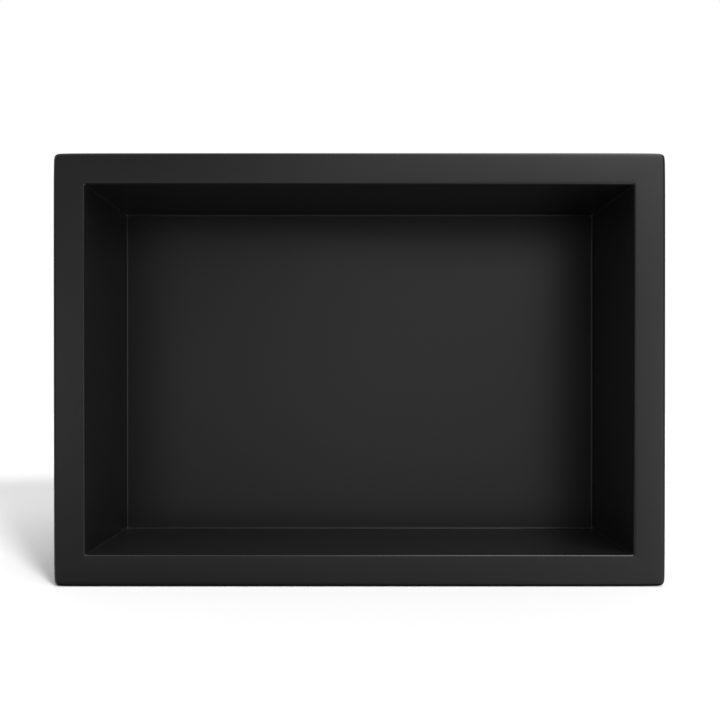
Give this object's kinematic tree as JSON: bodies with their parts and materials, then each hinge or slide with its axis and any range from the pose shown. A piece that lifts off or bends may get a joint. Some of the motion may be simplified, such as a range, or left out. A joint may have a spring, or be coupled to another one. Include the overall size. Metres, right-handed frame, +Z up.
{
  "type": "shower niche insert",
  "caption": "One-piece matte black wall niche: an open box recess behind a broad, slightly crowned face frame with rolled edges, let into a shower wall to hold bottles and soap.",
  "frame": {"origin": "middle of the wall cut-out, in the plane of the wall's surface, where the back of the face frame seats", "axes": "+Y into the wall, +Z up, +X to the right as one looks at the face"},
  "size_m": [0.508, 0.1015, 0.36],
  "materials": {
    "matte_black": "matte black solid surface, mineral-filled acrylic moulded in one piece and honed to a low sheen"
  },
  "bodies": {
    "root": {"niche_insert": "matte_black"}
  },
  "joints": []
}
